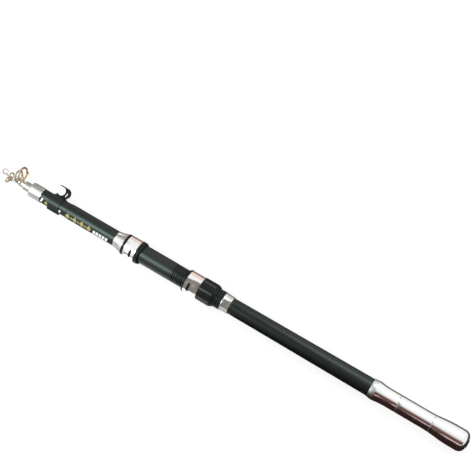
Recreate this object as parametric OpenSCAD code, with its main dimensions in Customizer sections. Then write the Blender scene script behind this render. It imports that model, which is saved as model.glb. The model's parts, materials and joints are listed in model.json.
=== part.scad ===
// Telescopic fishing rod, closed: a butt section with handle and reel seat and five drawn sections.
// The rod lies along +X with the middle of its butt end at the origin. +Y is the near side and +Z is up.
// A roll angle is counted from the far side (-Y) over the top (+Z) towards the near side.

/* [Butt handle] */
// Length of the turned handle, from the butt end to its front edge
handle_len = 115.5; // [90:0.5:150]
// Diameter of the flared end
flare_d = 24.4; // [22:0.1:30]
// Length of the straight land on the flare
flare_land = 8; // [5:0.5:14]
// Length of the rounded end
flare_round = 7.5; // [3:0.5:12]
// Length of the curve from the flare to the waist
flare_sweep = 34; // [20:1:45]
// Diameter of the waist
waist_d = 20.1; // [18:0.1:21.5]
// Wall of the collar round the socket at the front of the handle
collar_wall = 1.25; // [0.8:0.05:2.5]
// Length of the curve from the waist up to the collar
collar_sweep = 16; // [10:1:24]
// Length of the tapered front of the collar
collar_nose = 6.5; // [3:0.5:10]
// Wall at the front edge of the collar
collar_nose_wall = 0.4; // [0.2:0.05:0.8]
// Distance from the butt end to the first scribed ring
scribe_1 = 42.5; // [38:0.5:52]
// Distance from the butt end to the second scribed ring
scribe_2 = 82.5; // [60:0.5:90]
// Width of a scribed ring
scribe_w = 0.9; // [0.5:0.1:2]
// Depth of a scribed ring
scribe_depth = 0.4; // [0.2:0.1:0.8]
// Wall of the handle at its waist
handle_wall = 2; // [1.2:0.1:3]
// Depth of the socket that takes the butt section
socket_depth = 8; // [5:0.5:14]
// Solid length at the closed end of the handle
end_solid = 14; // [10:1:25]
// Diameter of the plug in the butt end
button_d = 9; // [5:0.5:14]
// Height of the plug over the end of the handle
button_proud = 0.8; // [0.4:0.1:2]
// Flat rim round the plug
button_rim = 0.2; // [0.1:0.1:2]
// Diameter of the stem of the plug
button_stem_d = 4; // [2:0.5:4.5]
// Length of the stem of the plug
button_stem_len = 6; // [3:0.5:8]
// Wall of the joining tube inside the handle
spigot_wall = 1.4; // [0.8:0.1:2]
// Length of the joining tube inside the handle
spigot_rear = 26; // [15:1:40]
// Length of the joining tube inside the butt section
spigot_front = 24; // [15:1:40]
// Length of the cushion that the drawn sections rest on
cushion_len = 21.3; // [8:0.1:60]

/* [Butt section] */
// Bare length between the handle and the reel seat trim
grip_len = 174.1; // [120:0.1:240]
// Wall of the butt section
butt_wall = 1.6; // [1:0.1:2.5]
// Loss of diameter from the handle to the mouth
butt_taper = 3.9; // [2:0.1:6]
// Length of the front sleeve
sleeve_len = 66; // [40:0.1:90]
// Wall of the front sleeve at its rear end
sleeve_wall = 0.28; // [0.2:0.02:0.9]
// Wall of the front sleeve at the end of its ramp
sleeve_edge = 0.15; // [0.1:0.05:0.3]
// Length of the ramp at the front of the sleeve
sleeve_ramp = 4; // [2:0.5:8]
// Length from the front sleeve to the mouth of the butt section
mouth_reach = 49.1; // [48:0.1:80]
// Length of the mouth ferrule
ferrule_len = 16; // [10:0.1:20]
// Wall of the mouth ferrule
ferrule_wall = 0.5; // [0.3:0.05:1.2]
// Length of the ferrule lip in front of the mouth
ferrule_lip = 1.5; // [0.8:0.1:3]
// Radius of the rounded front edge of the ferrule
ferrule_round = 1.4; // [0.5:0.1:1.8]

/* [Reel seat] */
// Length of the rear trim ring
trim_len = 10.2; // [6:0.1:16]
// Wall of the rear trim ring at its rear edge
trim_wall = 0.65; // [0.4:0.05:0.9]
// Length of the bead at the front of the rear trim ring
trim_bead = 1.6; // [1:0.1:3]
// Step from the seat tube down to the bead
trim_step = 0.1; // [0:0.05:0.4]
// Step from the bead down to the tapered body of the trim ring
bead_step = 0.25; // [0.1:0.05:0.5]
// Length of the seat tube
seat_len = 124.7; // [118:0.1:150]
// Wall of the seat tube at its rear end
seat_wall = 1.5; // [1.2:0.05:2.5]
// Length of the threaded stretch of the seat tube
thread_len = 63.9; // [60:0.1:70]
// Width of the keyway along the hidden side of the thread
keyway_w = 3; // [2:0.1:5]
// Depth of the keyway
keyway_depth = 0.8; // [0.4:0.1:1]
// Length of the key of the sliding hood
key_len = 8; // [4:0.5:12]
// Free length between the mouths of the two hoods
foot_space = 65.4; // [55:0.1:75]
// Roll angle of the reel foot pockets
pocket_roll = 138; // [90:1:180]
// Length of the fixed hood
fixed_hood_len = 14.3; // [13:0.1:20]
// Length of the sliding hood
sliding_hood_len = 16.3; // [14:0.1:22]
// Room between the seat tube and the hoods
hood_room = 1.3; // [1.1:0.05:2]
// Offset of the hoods towards the pocket side
hood_shift = 0.3; // [0:0.1:0.6]
// Sheet thickness of the hoods
hood_sheet = 0.7; // [0.4:0.05:1]
// Free height for the reel foot at the mouth of a pocket
pocket_height = 2.05; // [1.6:0.05:3]
// Difference between the radius of the hoods and that of the arch over the reel foot
arch_tighter = 1.05; // [0.5:0.05:1.5]
// Slope of the arch, in degrees
arch_tilt = 6; // [4:0.5:9]
// Wall of the hood liners inside the arch
liner_wall = 0.7; // [0.4:0.05:1]
// Depth of the reel foot pockets
pocket_depth = 11; // [8:0.5:12]
// Flare of the lips beyond the hoods
lip_flare = 0.35; // [0.1:0.05:0.8]
// Offset of the lips towards the pocket side
lip_shift = 0.5; // [0.2:0.1:0.8]
// Length of the flared lip behind the fixed hood
lip_len = 3.9; // [3:0.1:9]
// Length of the lip in front of the sliding hood
sliding_lip_len = 1.2; // [0.6:0.1:3]
// Length of the ramp on each lip
lip_ramp = 2.4; // [1:0.1:4]
// Width of the slot in each hood
slot_w = 2.9; // [1.5:0.1:4]
// Distance from the mouth of a hood to the middle of its slot
slot_place = 5.3; // [4:0.1:9]
// Length of the slot in each hood
slot_len = 10.8; // [8:0.1:14]
// Length of the front trim ring
front_ring_len = 3.5; // [1.5:0.1:5]
// Step from the fixed hood down to the front trim ring
front_ring_step = 0.25; // [0:0.05:1]
// Length of the front trim cone
cone_len = 12; // [8:0.1:22]
// Step from the front trim ring down to the front trim cone
cone_step = 0.3; // [0:0.05:1]
// Hollow of the front trim cone
cone_hollow = 0.35; // [0:0.05:0.6]
// Wall of the front trim cone at its front edge
cone_wall = 0.4; // [0.3:0.05:1.2]

/* [Lock nut] */
// Length of the lock nut
nut_len = 19.6; // [16:0.1:26]
// Wall of the lock nut between a flat and the snap groove
nut_wall = 1.13; // [0.8:0.01:2]
// Height of the rounded corners of the lock nut over its flats
nut_corner = 0.45; // [0.2:0.05:0.9]
// Length of the tapered rear of the lock nut
nut_taper = 3.5; // [2:0.5:9]
// Wall of the lock nut at its rear edge
nut_rim = 0.8; // [0.5:0.1:1.5]
// Length of the snap tail that ties the sliding hood to the lock nut
tail_len = 5; // [3.5:0.1:8]
// Wall of the snap tail
tail_wall = 0.5; // [0.4:0.05:0.7]
// Height of the bead on the snap tail
tail_bead = 0.25; // [0.15:0.05:0.4]
// Length of the bead on the snap tail
tail_bead_len = 1.4; // [0.8:0.1:2]

/* [Hook keeper] */
// Distance from the front sleeve to the hook keeper
keeper_place = 8.5; // [4:0.5:15]
// Length of the clip band
keeper_len = 14; // [12.5:0.1:18]
// Wall of the clip band
keeper_wall = 1.05; // [0.8:0.05:1.6]
// Height of the split lugs over the clip band
lug_rise = 1.05; // [0.6:0.05:2]
// Roll angle of the split
lug_roll = 204; // [180:1:240]
// Angle that the lugs span, in degrees
lug_span = 60; // [40:1:80]
// Width of the split between the lugs
split_w = 1; // [0.6:0.1:2]
// Width of the two grooves across the lugs
lug_groove_w = 0.8; // [0.4:0.1:1.5]
// Depth of these grooves as a share of the height of the lugs
lug_groove_share = 0.75; // [0.4:0.05:0.9]
// Roll angle of the hook plate
hook_roll = 19; // [0:1:60]
// Thickness of the hook plate
hook_thick = 3; // [2:0.1:4]
// Radius of the gap under the prong
hook_gap_r = 5; // [4:0.1:6]
// Height of the gap over the clip band
hook_gap_rise = 0.7; // [0.4:0.1:1.5]
// Thickness of the prong
prong_thick = 1.3; // [0.9:0.1:2.5]
// Thickness of the tip of the prong
prong_tip = 0.7; // [0.5:0.1:0.9]
// Length of the prong past the front of the clip band
prong_reach = 0.8; // [0:0.1:3]
// Length of the hook behind the rear of the clip band
hook_reach = 1.9; // [0:0.1:4]
// Thickness of the back of the hook behind the eye
hook_back = 3.1; // [2:0.1:4]
// Thickness of the branch between the eye and the gap
hook_branch = 1.1; // [0.8:0.1:1.6]
// Width of the eye
eye_w = 2.3; // [1.4:0.1:2.6]
// Length of the eye
eye_len = 5.2; // [3:0.1:5.6]
// Drop of the middle of the eye below that of the gap
eye_drop = 1.4; // [0.5:0.1:1.6]
// Slant of the eye, in degrees
eye_slant = 10; // [0:1:20]
// Inset of the foot of the hook from each end of the clip band
hook_inset = 0.7; // [0.2:0.1:2]

/* [Drawn sections] */
// Length of each section that stays in the one before it
overlap = 42; // [25:1:60]
// Diameter of the tip of the last section
tip_d = 1.3; // [1:0.1:1.6]
// Loss of diameter along the last section
tip_taper = 0.7; // [0.4:0.05:1]
// Wall of the fifth section
wall_5 = 0.5; // [0.4:0.05:0.7]
// Loss of diameter along the fifth section
taper_5 = 0.4; // [0.2:0.05:0.8]
// Wall of the fourth section
wall_4 = 0.65; // [0.5:0.05:0.85]
// Loss of diameter along the fourth section
taper_4 = 0.5; // [0.2:0.05:0.8]
// Wall of the third section
wall_3 = 0.75; // [0.6:0.05:1]
// Loss of diameter along the third section
taper_3 = 0.6; // [0.2:0.05:1]
// Wall of the second section
wall_2 = 0.95; // [0.8:0.05:1.3]
// Loss of diameter along the second section
taper_2 = 3.2; // [2.4:0.1:3.6]

/* [Guides] */
// Diameter of the ring on the second section
ring_d_2 = 17.2; // [14:0.1:22]
// Diameter of the ring on the third section
ring_d_3 = 14; // [10:0.5:16]
// Diameter of the ring on the fourth section
ring_d_4 = 9.6; // [7:0.1:11]
// Diameter of the ring on the fifth section
ring_d_5 = 7.4; // [6:0.2:8]
// Diameter of the ring of the floating guide
ring_d_float = 6.2; // [5:0.2:7]
// Diameter of the ring of the tip top
ring_d_tip = 6.8; // [5:0.2:8]
// Length of the collar on the second section
guide_collar_2 = 8.8; // [7:0.1:12]
// Length of the collar on the third section
guide_collar_3 = 6.3; // [5:0.1:9]
// Length of the collar on the fourth section
guide_collar_4 = 5.7; // [4:0.1:8]
// Length of the collar on the fifth section
guide_collar_5 = 4.7; // [3.5:0.1:7]
// Length of the collar of the floating guide
guide_collar_float = 2.6; // [2:0.1:5]
// Length of the tube of the tip top
tip_tube_len = 4.4; // [3:0.1:8]
// Closed length at the front of the tip top tube
tip_cap = 0.8; // [0.4:0.1:1.5]
// Wall of the guide collars
guide_collar_wall = 0.5; // [0.4:0.05:0.7]
// Length from the collar on the second section to the foot of its hoop
reach_2 = 3; // [0:0.1:4]
// Length from the collar on the third section to the foot of its hoop
reach_3 = 0.5; // [0:0.1:4]
// Length from the collar on the fourth section to the foot of its hoop
reach_4 = 3.2; // [0:0.1:4]
// Length from the collar on the fifth section to the foot of its hoop
reach_5 = 1.4; // [0:0.1:4]
// Length from the collar of the floating guide to the foot of its hoop
reach_float = 0.2; // [0:0.1:1]
// Forward lean of the rings on the sections, in degrees
lean_rings = 12; // [0:1:20]
// Forward lean of the tip top ring, in degrees
lean_tip = 45; // [30:1:55]
// Angle along a hoop from its foot to a leg, in degrees
leg_angle = 78; // [50:1:100]
// Angle round a collar from its top to the root of a leg, in degrees
root_angle = 38; // [20:1:60]
// Roll angle of the guide on the second section
roll_2 = 72; // [40:1:110]
// Roll angle of the guide on the third section
roll_3 = 84; // [40:1:110]
// Roll angle of the guide on the fourth section
roll_4 = 104; // [40:1:110]
// Roll angle of the guide on the fifth section
roll_5 = 146; // [40:1:180]
// Roll angle of the floating guide
roll_float = 170; // [40:1:200]
// Roll angle of the tip top
roll_tip = 78; // [20:1:110]
// Travel of the floating guide down the last section until it wedges
float_travel = 170; // [100:1:200]
// Thickness of the smallest possible ring bar
ring_bar_min = 0.8; // [0.3:0.05:1]
// Growth of the ring bar with the ring diameter
ring_bar_growth = 0.085; // [0.05:0.005:0.1]
// Width of a ring as a share of its bar
ring_width_share = 0.8; // [0.7:0.05:1]
// Width of a hoop as a share of the width of its ring
hoop_width_share = 0.65; // [0.5:0.05:0.9]
// Radius of the thinnest possible leg wire
wire_min = 0.3; // [0.2:0.05:0.4]
// Growth of the leg wire with the ring diameter
wire_growth = 0.018; // [0.01:0.002:0.025]
// Thickness of the hoop round a ring
hoop_wall = 0.4; // [0.3:0.05:0.6]
// Gap between a collar and the hoop, as a foot height
foot_min = 0.5; // [0.4:0.05:0.8]
// Growth of the foot height with the ring diameter
foot_growth = 0.05; // [0.03:0.005:0.07]

/* [Fits] */
// Radial gap of glued joints
glue_gap = 0.03; // [0.02:0.01:0.05]
// Radial gap of sliding and turning joints
slide_gap = 0.06; // [0.04:0.01:0.1]
// Gap between pieces that move past each other
body_gap = 0.3; // [0.2:0.05:0.5]

/* [Hidden] */
$fn = 72;
small_fn = 40;
// Overrun of cutting solids, in mm and in degrees
over = 1;
over_turn = 10;

// Stations along the rod, from the butt end
trim_x = handle_len + grip_len;
seat_x = trim_x + trim_len;
seat_end_x = seat_x + seat_len;
fixed_mouth_x = seat_end_x - fixed_hood_len;
sliding_mouth_x = fixed_mouth_x - foot_space;
nut_front_x = sliding_mouth_x - sliding_hood_len - body_gap;
nut_rear_x = nut_front_x - nut_len;
cone_x = seat_end_x + front_ring_len;
sleeve_x = cone_x + cone_len;
sleeve_end_x = sleeve_x + sleeve_len;
mouth_x = sleeve_end_x + mouth_reach;
ferrule_end_x = mouth_x + ferrule_lip;
ferrule_x = ferrule_end_x - ferrule_len;
keeper_x = sleeve_end_x + keeper_place;
butt_rear_x = handle_len - socket_depth;
cushion_x = butt_rear_x + spigot_front;

// Travel of each drawn section: the second one starts from the cushion
draw = mouth_x - overlap - cushion_x - cushion_len - body_gap;

// Sections are counted from 0, the butt section, to 5, the last one
walls = [butt_wall, wall_2, wall_3, wall_4, wall_5];
tapers = [butt_taper, taper_2, taper_3, taper_4, taper_5, tip_taper];
last = len(tapers) - 1;
collars = [0, guide_collar_2, guide_collar_3, guide_collar_4, guide_collar_5, tip_tube_len];

// Diameters grow from the tip outwards: each bore takes the shoulder of the section that slides in it
function front_d(i) = i == last ? tip_d : bore_front_d(i) + 2 * walls[i];
function shoulder_d(i) = front_d(i) + tapers[i];
function bore_front_d(i) = shoulder_d(i + 1) + 2 * slide_gap;

// Ends of the sections when closed
float_x = front_x(last - 1) + body_gap;
function tube_rear_x(i) = i == last
  ? float_x + guide_collar_float + body_gap
  : (i == 1 ? ferrule_end_x : front_x(i - 1)) + body_gap;
function front_x(i) = i == 0 ? mouth_x : tube_rear_x(i) + collars[i] - (i == last ? tip_cap : 0);
function base_x(i) = i == 0 ? butt_rear_x : front_x(i - 1) - overlap - draw;

// Outside of the butt section and slope of each bore
butt_slope = butt_taper / (mouth_x - handle_len);
function butt_d(x) = front_d(0) + butt_slope * (mouth_x - x);
function base_d(i) = i == 0 ? butt_d(butt_rear_x) : shoulder_d(i) + bore_slope(i - 1) * overlap;
function bore_rear_d(i) = base_d(i) - 2 * walls[i];
function bore_slope(i) = (bore_rear_d(i) - bore_front_d(i)) / (front_x(i) - base_x(i));
function bore_d(i, x) = bore_front_d(i) + bore_slope(i) * (front_x(i) - x);

// Outside of a drawn section at a station ahead of its shoulder
function section_d(i, x) =
  front_d(i) + tapers[i] * (front_x(i) - x) / (front_x(i) - base_x(i) - overlap);

// Points of an arc, for turned profiles of [radius, station]
function arc(middle, radius, from, to, steps) =
  [for (k = [0:steps]) let (a = from + (to - from) * k / steps) middle + radius * [cos(a), sin(a)]];

// Radius of an arc that leaves a straight line at a tangent and rises by rise over run
function sweep_r(run, rise) = (run * run + rise * rise) / (2 * rise);

// Points of a line from a to b that bows by sag to its left
function bowed(a, b, sag, steps) =
  [for (k = [0:steps]) a + (b - a) * k / steps
    + sag * 4 * k / steps * (1 - k / steps) * [a[1] - b[1], b[0] - a[0]] / norm(b - a)];

// Radii that several pieces share
handle_bore_r = waist_d / 2 - handle_wall;
seat_r = butt_d(seat_x) / 2 + glue_gap + seat_wall;
hood_r = seat_r + hood_room + hood_sheet;
arch_r = hood_r - arch_tighter;
arch_height = seat_r + pocket_height + liner_wall + hood_sheet;
arch_shift = arch_height - arch_r;
lip_r = hood_r + lip_flare;
front_ring_r = hood_r - front_ring_step;

module turned(points, fn = $fn) {
  rotate([0, 90, 0]) rotate_extrude($fn = fn) polygon(points);
}

// A straight or tapered round bar along +X, offset upwards by rise
module bar(x, length, r1, r2, rise = 0) {
  translate([x, 0, rise]) rotate([0, 90, 0]) cylinder(h = length, r1 = r1, r2 = r2);
}

// Turns the +Z side of a piece to a roll angle
module rolled(angle) {
  rotate([90 - angle, 0, 0]) children();
}

// A turned profile that spans only part of a turn, round the +Z side
module sector(points, span) {
  rotate([0, 90, 0]) rotate_extrude(angle = span, start = 180 - span / 2) polygon(points);
}

// An outline of two half rounds joined by straight sides, along Y
module slot_outline(width, length) {
  for (end = [-1, 1]) translate([0, end * (length - width) / 2]) circle(d = width, $fn = small_fn);
  square([width, length - width], center = true);
}

// A round wire between two points
module wire(from, to, r) {
  run = to - from;
  length = norm(run);
  translate(from)
    rotate([0, acos(run[2] / length), atan2(run[1], run[0])])
      cylinder(h = length, r = r, $fn = small_fn / 2);
}

module butt_handle() {
  flare_r = flare_d / 2;
  waist_r = waist_d / 2;
  flat_r = button_d / 2 + button_rim;
  land_x = button_proud + flare_round + flare_land;
  half = flare_sweep / 2;
  flare_arc = sweep_r(half, (flare_r - waist_r) / 2);
  flare_turn = asin(half / flare_arc);
  socket_r = butt_d(butt_rear_x) / 2 + glue_gap;
  crest_x = handle_len - collar_nose;
  crest_r = socket_r + collar_wall;
  crest_arc = sweep_r(collar_sweep, crest_r - waist_r);
  crest_turn = asin(collar_sweep / crest_arc);
  nose_r = butt_d(handle_len) / 2 + glue_gap + collar_nose_wall;
  stem_r = button_stem_d / 2 + glue_gap;
  color("silver") difference() {
    turned(concat(
      [[0, button_proud]],
      [for (a = [0:9:90]) [flat_r + (flare_r - flat_r) * sin(a), button_proud + flare_round * (1 - cos(a))]],
      arc([flare_r - flare_arc, land_x], flare_arc, 0, flare_turn, 8),
      arc([waist_r + flare_arc, land_x + flare_sweep], flare_arc, 180 + flare_turn, 180, 8),
      arc([waist_r + crest_arc, crest_x - collar_sweep], crest_arc, 180, 180 - crest_turn, 8),
      [[nose_r, handle_len], [0, handle_len]]
    ));
    bar(butt_rear_x, socket_depth + over, socket_r, socket_r);
    bar(button_proud + end_solid, handle_len, handle_bore_r, handle_bore_r);
    bar(0, button_proud + button_stem_len + body_gap, stem_r, stem_r);
    for (x = [scribe_1, scribe_2])
      turned([
        [waist_r - scribe_depth, x - scribe_w / 2],
        [flare_r, x - scribe_w / 2],
        [flare_r, x + scribe_w / 2],
        [waist_r - scribe_depth, x + scribe_w / 2]
      ]);
  }
}

module butt_button() {
  rim = button_proud / 2;
  color("#26282a") turned([
    [0, 0],
    [button_d / 2 - rim, 0],
    [button_d / 2, rim],
    [button_d / 2, button_proud],
    [button_stem_d / 2, button_proud],
    [button_stem_d / 2, button_proud + button_stem_len],
    [0, button_proud + button_stem_len]
  ]);
}

module butt_spigot() {
  outer = min(handle_bore_r, bore_d(0, cushion_x) / 2) - glue_gap;
  color("#8d9196") difference() {
    bar(butt_rear_x - spigot_rear, spigot_rear + spigot_front, outer, outer);
    bar(0, mouth_x, outer - spigot_wall, outer - spigot_wall);
  }
}

module section_cushion() {
  rear_r = bore_d(0, cushion_x) / 2 - glue_gap;
  front_r = bore_d(0, cushion_x + cushion_len) / 2 - glue_gap;
  color("#1f2023") bar(cushion_x, cushion_len, rear_r, front_r);
}

module butt_section() {
  color("#17181b") turned([
    [bore_d(0, butt_rear_x) / 2, butt_rear_x],
    [butt_d(butt_rear_x) / 2, butt_rear_x],
    [butt_d(mouth_x) / 2, mouth_x],
    [bore_front_d(0) / 2, mouth_x]
  ]);
}

module rear_trim_ring() {
  rear_r = butt_d(trim_x) / 2 + glue_gap;
  rim_r = seat_r - trim_step;
  color("silver") turned([
    [rear_r, trim_x],
    [rear_r + trim_wall, trim_x],
    [rim_r - bead_step, seat_x - trim_bead],
    [rim_r, seat_x - trim_bead],
    [rim_r, seat_x],
    [butt_d(seat_x) / 2 + glue_gap, seat_x]
  ]);
}

module reel_seat_tube() {
  color("#1b1c1f") difference() {
    turned([
      [butt_d(seat_x) / 2 + glue_gap, seat_x],
      [seat_r, seat_x],
      [seat_r, seat_end_x],
      [butt_d(seat_end_x) / 2 + glue_gap, seat_end_x]
    ]);
    rolled(pocket_roll) translate([seat_x - over, -keyway_w / 2, -seat_r - over])
      cube([thread_len + over, keyway_w, keyway_depth + over]);
  }
}

// A round bar along the arch of a hood whose mouth is at 0 and faces -X
module arch_bar(from, to, r) {
  translate([0, 0, arch_shift]) rotate([0, 90 + arch_tilt, 0])
    translate([0, 0, from]) cylinder(h = to - from, r = r);
}

// The outline that a hood and its liner share, drawn in by inset
module hood_outline(length, inset) {
  reach = arch_height;
  intersection() {
    union() {
      bar(0, length, hood_r - inset, hood_r - inset, hood_shift);
      arch_bar(-reach, length + reach, arch_r - inset);
    }
    translate([0, -2 * reach, -2 * reach]) cube([length, 4 * reach, 4 * reach]);
  }
}

module hood_shell(length) {
  reach = arch_height;
  inner = hood_r - hood_sheet;
  difference() {
    hood_outline(length, 0);
    bar(-over, length + 2 * over, inner, inner, hood_shift);
    arch_bar(-reach, length + reach, arch_r - hood_sheet);
    translate([slot_place, 0, 0]) linear_extrude(height = reach + over) slot_outline(slot_w, slot_len);
  }
}

module hood_lining(length, lip, gap) {
  reach = lip + lip_ramp + arch_height;
  bore_r = seat_r + gap;
  difference() {
    union() {
      hood_outline(length, hood_sheet + glue_gap);
      bar(-lip, lip, lip_r, lip_r, lip_shift);
      bar(-lip - lip_ramp, lip_ramp, bore_r + liner_wall, lip_r, lip_shift);
    }
    bar(-reach, 2 * reach + length, bore_r, bore_r);
    arch_bar(-reach, pocket_depth, arch_r - hood_sheet - liner_wall);
  }
}

module fixed_hood() {
  color("silver") rolled(pocket_roll) translate([fixed_mouth_x, 0, 0]) hood_shell(fixed_hood_len);
}

module fixed_hood_liner() {
  color("#141518") rolled(pocket_roll)
    translate([fixed_mouth_x, 0, 0]) hood_lining(fixed_hood_len, lip_len, glue_gap);
}

module sliding_hood() {
  color("silver") rolled(pocket_roll)
    translate([sliding_mouth_x, 0, 0]) mirror([1, 0, 0]) hood_shell(sliding_hood_len);
}

// Radii of the snap tail that the lock nut turns on
tail_in_r = seat_r + slide_gap;
tail_out_r = tail_in_r + tail_wall;
bead_r = tail_out_r + tail_bead;

module sliding_hood_liner() {
  tail_end = sliding_hood_len + tail_len;
  key_w = keyway_w - 2 * slide_gap;
  key_h = keyway_depth - slide_gap;
  color("#141518") rolled(pocket_roll) translate([sliding_mouth_x, 0, 0]) mirror([1, 0, 0]) {
    hood_lining(sliding_hood_len, sliding_lip_len, slide_gap);
    turned([
      [tail_in_r, sliding_hood_len - over],
      [tail_out_r, sliding_hood_len - over],
      [tail_out_r, tail_end - tail_bead_len],
      [bead_r, tail_end - tail_bead_len],
      [bead_r, tail_end - tail_bead_len / 2],
      [tail_out_r, tail_end],
      [tail_in_r, tail_end]
    ]);
    translate([sliding_hood_len - key_len, -key_w / 2, -tail_out_r])
      cube([key_len, key_w, tail_out_r - seat_r + key_h]);
  }
}

module lock_nut() {
  bore_r = seat_r + slide_gap;
  flat_r = bead_r + slide_gap + nut_wall;
  corner_r = flat_r + nut_corner;
  groove_x = nut_front_x + body_gap - tail_len;
  side = 180 / 8;
  color("#1d1e21") difference() {
    intersection() {
      bar(nut_rear_x, nut_len, corner_r, corner_r);
      translate([nut_rear_x, 0, 0]) rotate([0, 90, 0]) rotate([0, 0, side])
        cylinder(h = nut_len, r = flat_r / cos(side), $fn = 8);
      turned([
        [0, nut_rear_x],
        [bore_r + nut_rim, nut_rear_x],
        [corner_r, nut_rear_x + nut_taper],
        [corner_r, nut_front_x],
        [0, nut_front_x]
      ]);
    }
    bar(nut_rear_x - over, nut_len + 2 * over, bore_r, bore_r);
    turned([
      [0, groove_x - body_gap],
      [bead_r + slide_gap, groove_x - body_gap],
      [bead_r + slide_gap, groove_x + tail_bead_len + body_gap],
      [tail_out_r + slide_gap, groove_x + tail_bead_len + body_gap],
      [tail_out_r + slide_gap, nut_front_x + over],
      [0, nut_front_x + over]
    ]);
  }
}

module front_trim_ring() {
  color("#141518") turned([
    [butt_d(seat_end_x) / 2 + glue_gap, seat_end_x],
    [front_ring_r, seat_end_x],
    [front_ring_r, cone_x],
    [butt_d(cone_x) / 2 + glue_gap, cone_x]
  ]);
}

module front_trim_cone() {
  rear_r = front_ring_r - cone_step;
  hole_r = butt_d(sleeve_x) / 2 + glue_gap;
  color("silver") turned(concat(
    [[butt_d(cone_x) / 2 + glue_gap, cone_x]],
    bowed([rear_r, cone_x], [hole_r + cone_wall, sleeve_x], cone_hollow, 8),
    [[hole_r, sleeve_x]]
  ));
}

module front_sleeve() {
  rear_r = butt_d(sleeve_x) / 2 + glue_gap;
  front_r = butt_d(sleeve_end_x) / 2 + glue_gap;
  color("#18191c") turned([
    [rear_r, sleeve_x],
    [rear_r + sleeve_wall, sleeve_x],
    [rear_r + sleeve_wall, sleeve_end_x - sleeve_ramp],
    [front_r + sleeve_edge, sleeve_end_x],
    [front_r, sleeve_end_x]
  ]);
}

module mouth_ferrule() {
  outer_r = butt_d(ferrule_x) / 2 + ferrule_wall;
  lip_hole_r = bore_front_d(0) / 2 + slide_gap;
  rounding = min(ferrule_round, outer_r - lip_hole_r - ferrule_wall);
  color("silver") turned(concat(
    [
      [lip_hole_r, ferrule_end_x],
      [lip_hole_r, mouth_x],
      [butt_d(mouth_x) / 2 + glue_gap, mouth_x],
      [butt_d(ferrule_x) / 2 + glue_gap, ferrule_x],
      [outer_r, ferrule_x]
    ],
    arc([outer_r - rounding, ferrule_end_x - rounding], rounding, 0, 90, 8)
  ));
}

// Side view of the hook plate, with X along the rod and Y away from its axis
module hook_outline(band_r) {
  rear_x = keeper_x - hook_reach;
  end_x = keeper_x + keeper_len;
  tip_x = end_x + prong_reach;
  gap_x = rear_x + hook_back + eye_w + hook_branch + hook_gap_r;
  gap_y = band_r + hook_gap_rise + hook_gap_r;
  back_r = hook_gap_r + prong_thick;
  top_y = gap_y + back_r;
  foot_y = band_r - keeper_wall / 2;
  difference() {
    union() {
      translate([rear_x + back_r, gap_y]) circle(r = back_r);
      polygon([
        [keeper_x + hook_inset, foot_y],
        [end_x - hook_inset, foot_y],
        [end_x - hook_inset, gap_y - hook_gap_r],
        [gap_x, gap_y],
        [rear_x + hook_inset, gap_y]
      ]);
      polygon([
        [rear_x + back_r, top_y],
        [gap_x + hook_gap_r / 2, top_y],
        [tip_x, top_y - prong_thick + prong_tip],
        [tip_x, top_y - prong_thick],
        [gap_x, top_y - prong_thick],
        [gap_x, gap_y],
        [rear_x + back_r, gap_y]
      ]);
    }
    translate([gap_x, gap_y]) circle(r = hook_gap_r);
    translate([rear_x + hook_back + eye_w / 2, gap_y - eye_drop]) rotate([0, 0, eye_slant])
      slot_outline(eye_w, eye_len);
  }
}

module hook_keeper() {
  end_x = keeper_x + keeper_len;
  rear_r = butt_d(keeper_x) / 2 + slide_gap;
  front_r = butt_d(end_x) / 2 + slide_gap;
  band_r = rear_r + keeper_wall;
  root_r = band_r - keeper_wall / 2;
  lug_r = band_r + lug_rise;
  groove_r = lug_r - lug_groove_share * lug_rise;
  spread = butt_slope / 2 * over;
  color("#17181a") difference() {
    union() {
      bar(keeper_x, keeper_len, band_r, band_r);
      rolled(lug_roll) sector([
        [root_r, keeper_x],
        [lug_r, keeper_x],
        [lug_r, end_x],
        [root_r, end_x]
      ], lug_span);
      rolled(hook_roll) rotate([90, 0, 0])
        linear_extrude(height = hook_thick, center = true) hook_outline(band_r);
    }
    bar(keeper_x - over, keeper_len + 2 * over, rear_r + spread, front_r - spread);
    rolled(lug_roll) translate([keeper_x - over, -split_w / 2, 0])
      cube([keeper_len + 2 * over, split_w, lug_r + over]);
    for (place = [1, 2])
      rolled(lug_roll) sector([
        [groove_r, keeper_x + place * keeper_len / 3 - lug_groove_w / 2],
        [lug_r + over, keeper_x + place * keeper_len / 3 - lug_groove_w / 2],
        [lug_r + over, keeper_x + place * keeper_len / 3 + lug_groove_w / 2],
        [groove_r, keeper_x + place * keeper_len / 3 + lug_groove_w / 2]
      ], lug_span + over_turn);
  }
}

// A drawn tube: a base that wedges in the section before it, then a straight taper
module section_tube(i) {
  color("#1a1b1e") turned([
    [bore_rear_d(i) / 2, base_x(i)],
    [base_d(i) / 2, base_x(i)],
    [shoulder_d(i) / 2, base_x(i) + overlap],
    [front_d(i) / 2, front_x(i)],
    [bore_front_d(i) / 2, front_x(i)]
  ]);
}

module tip_section() {
  color("#1a1b1e") turned([
    [0, base_x(last)],
    [base_d(last) / 2, base_x(last)],
    [shoulder_d(last) / 2, base_x(last) + overlap],
    [front_d(last) / 2, front_x(last)],
    [0, front_x(last)]
  ], small_fn);
}

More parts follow.
